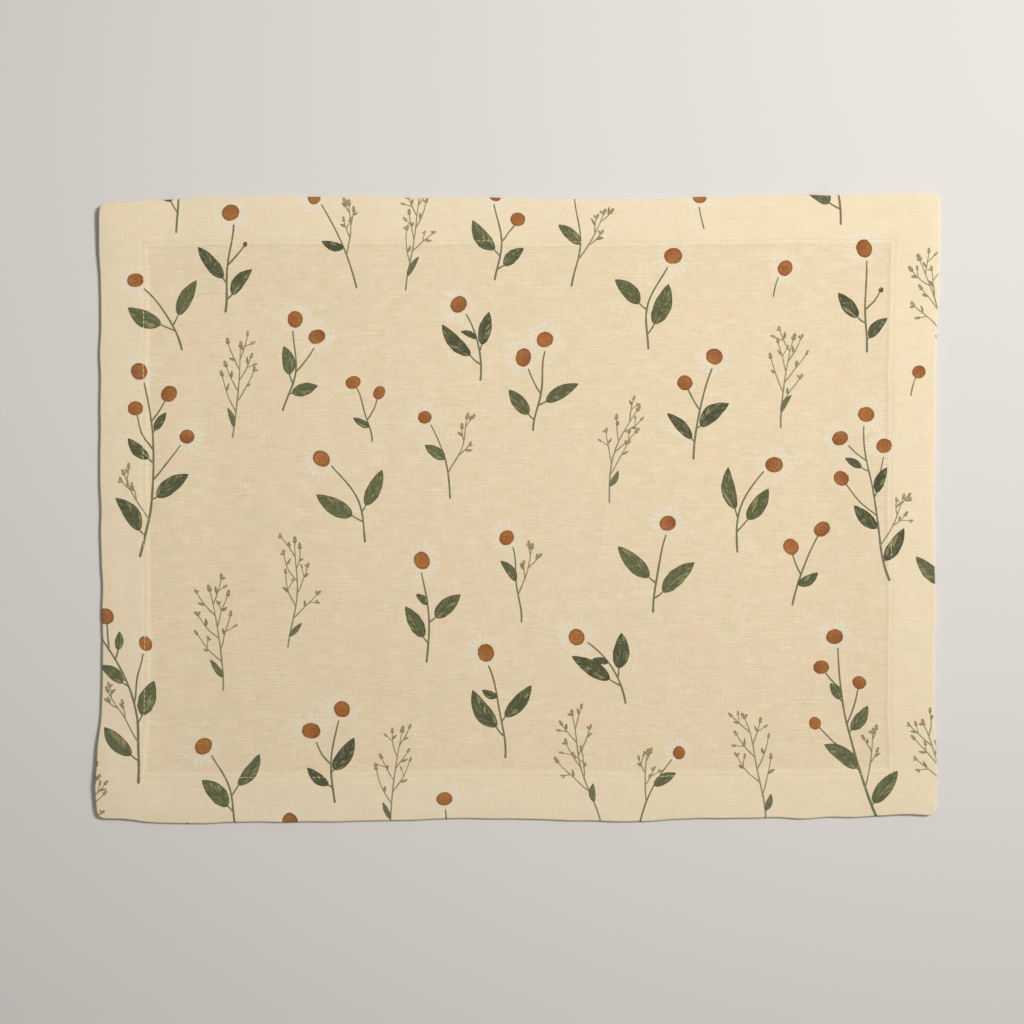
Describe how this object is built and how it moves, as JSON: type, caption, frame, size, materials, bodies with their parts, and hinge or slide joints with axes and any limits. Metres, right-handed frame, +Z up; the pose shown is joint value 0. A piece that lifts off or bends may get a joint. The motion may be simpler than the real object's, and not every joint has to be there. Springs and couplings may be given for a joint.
{
  "type": "fabric placemat",
  "caption": "Rectangular linen placemat: one cloth with a turned hem all round and softly rounded corners, lying flat with slightly lifted edges.",
  "frame": {"origin": "on the table top, under the middle of the mat's outline", "axes": "+X along the long side to the right, +Y away from the diner to the far side, +Z up"},
  "size_m": [0.454, 0.339, 0.004],
  "materials": {
    "printed_linen": "matte woven linen, cream with a small floral print",
    "hem_thread": "matte sewing thread, cream"
  },
  "bodies": {
    "root": {"placemat": "printed_linen"}
  },
  "joints": []
}
